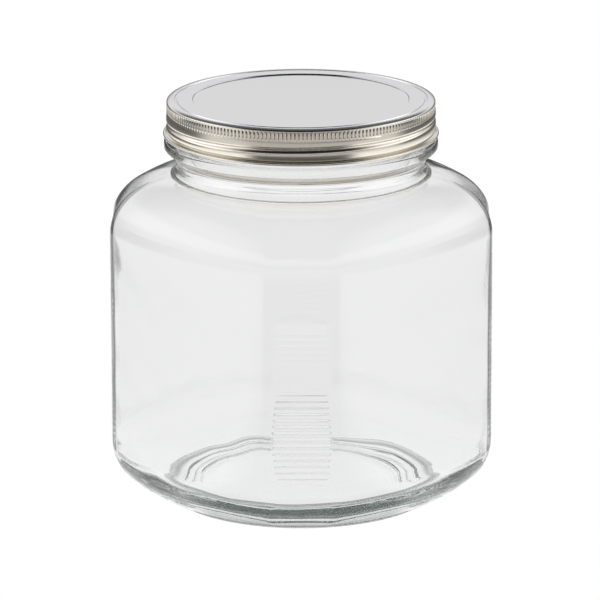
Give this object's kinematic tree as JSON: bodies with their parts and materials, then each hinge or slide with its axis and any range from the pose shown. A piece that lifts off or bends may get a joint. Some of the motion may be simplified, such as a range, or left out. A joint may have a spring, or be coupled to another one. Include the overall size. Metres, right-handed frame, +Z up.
{
  "type": "glass cracker jar with screw lid",
  "caption": "Clear glass storage jar of rounded square plan with ribbed corner grips, a short round neck and a knurled metal screw lid.",
  "frame": {"origin": "middle of the foot, on the surface that the jar stands on", "axes": "+Z up through the mouth; the four crowned sides face +X, -X, +Y and -Y, and the ribbed grips are on the corners between them"},
  "size_m": [0.1774, 0.1774, 0.2042],
  "materials": {
    "clear_glass": "clear, polished",
    "brushed_steel": "fine satin tinplate"
  },
  "bodies": {
    "root": {"jar": "clear_glass", "lid": "brushed_steel"}
  },
  "joints": []
}
